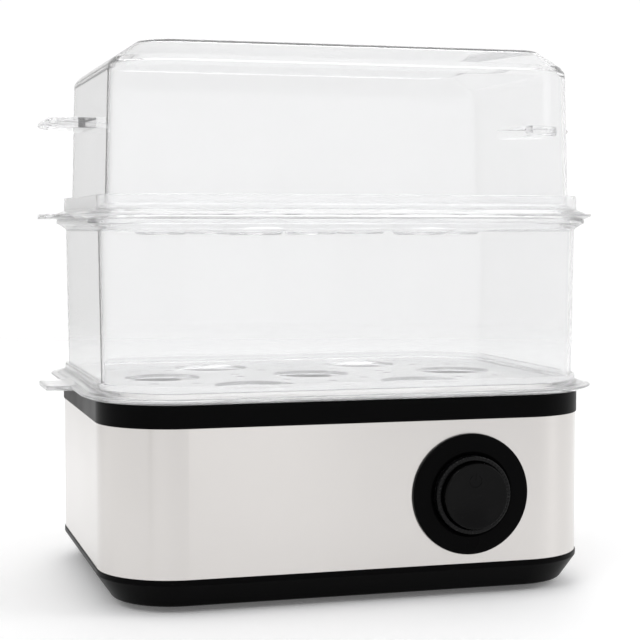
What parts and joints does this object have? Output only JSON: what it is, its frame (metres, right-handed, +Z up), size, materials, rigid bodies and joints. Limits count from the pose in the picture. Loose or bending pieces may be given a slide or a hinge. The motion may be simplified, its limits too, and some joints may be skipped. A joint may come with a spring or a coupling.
{
  "type": "egg cooker",
  "caption": "Electric egg cooker with a heated steel-wrapped base, stacked clear egg trays, a clear sleeve and a clear lid with side handles.",
  "frame": {"origin": "on the resting surface, under the middle of the base", "axes": "+Z up, -Y to the front where the button is, +X to the right seen from the front"},
  "size_m": [0.2752, 0.203, 0.262],
  "materials": {
    "black_plastic": "fine moulded satin",
    "gloss_black": "polished",
    "brushed_wrap": "brushed along its length, satin",
    "plate_steel": "drawn, spun satin",
    "zinc_steel": "zinc plated",
    "sheath_steel": "heat-darkened sheath",
    "cast_aluminium": "die cast",
    "red_silicone": "moulded silicone",
    "dark_rubber": "moulded matt",
    "white_ceramic": "fired and unglazed",
    "green_board": "solder-masked board",
    "lead_sleeving": "silicone sleeving",
    "smoky_plastic": "translucent smoke",
    "switch_grey": "moulded",
    "natural_nylon": "moulded nylon",
    "clear_plastic": "clear, polished"
  },
  "bodies": {
    "base": {"base_pan": "black_plastic", "rubber_feet": "dark_rubber", "frame_screws": "zinc_steel", "steel_wrap": "brushed_wrap", "top_frame": "black_plastic", "heating_plate": "plate_steel", "plate_seal": "red_silicone", "plate_nuts": "zinc_steel", "heat_spreader": "cast_aluminium", "heating_element": "sheath_steel", "element_clamps": "zinc_steel", "clamp_screws": "zinc_steel", "thermostat": "white_ceramic", "thermal_fuse": "cast_aluminium", "terminal_block": "white_ceramic", "internal_leads": "lead_sleeving", "cord_gland": "dark_rubber", "control_bezel": "gloss_black", "light_ring": "smoky_plastic", "led_board": "green_board", "switch_carrier": "black_plastic", "control_screws": "zinc_steel", "push_switch": "switch_grey", "return_spring": "zinc_steel"},
    "button": {"button_cap": "gloss_black", "switch_plunger": "natural_nylon"},
    "lower_tray": {"lower_egg_tray": "clear_plastic"},
    "sleeve": {"middle_sleeve": "clear_plastic"},
    "upper_tray": {"upper_egg_tray": "clear_plastic"},
    "lid": {"lid": "clear_plastic"}
  },
  "joints": [
    {"name": "button_press", "type": "slide", "parent": "base", "child": "button", "axis": [0, 1, 0], "range_m": [0, 0.003], "stiffness_N_per_m": 400, "springref_m": -0.002, "deforming": ["return_spring"]},
    {"name": "lower_tray_lift", "type": "slide", "parent": "base", "child": "lower_tray", "axis": [0, 0, 1], "range_m": [0, 0.05]},
    {"name": "sleeve_lift", "type": "slide", "parent": "lower_tray", "child": "sleeve", "axis": [0, 0, 1], "range_m": [0, 0.12]},
    {"name": "upper_tray_lift", "type": "slide", "parent": "sleeve", "child": "upper_tray", "axis": [0, 0, 1], "range_m": [0, 0.05]},
    {"name": "lid_lift", "type": "slide", "parent": "upper_tray", "child": "lid", "axis": [0, 0, 1], "range_m": [0, 0.12]}
  ]
}
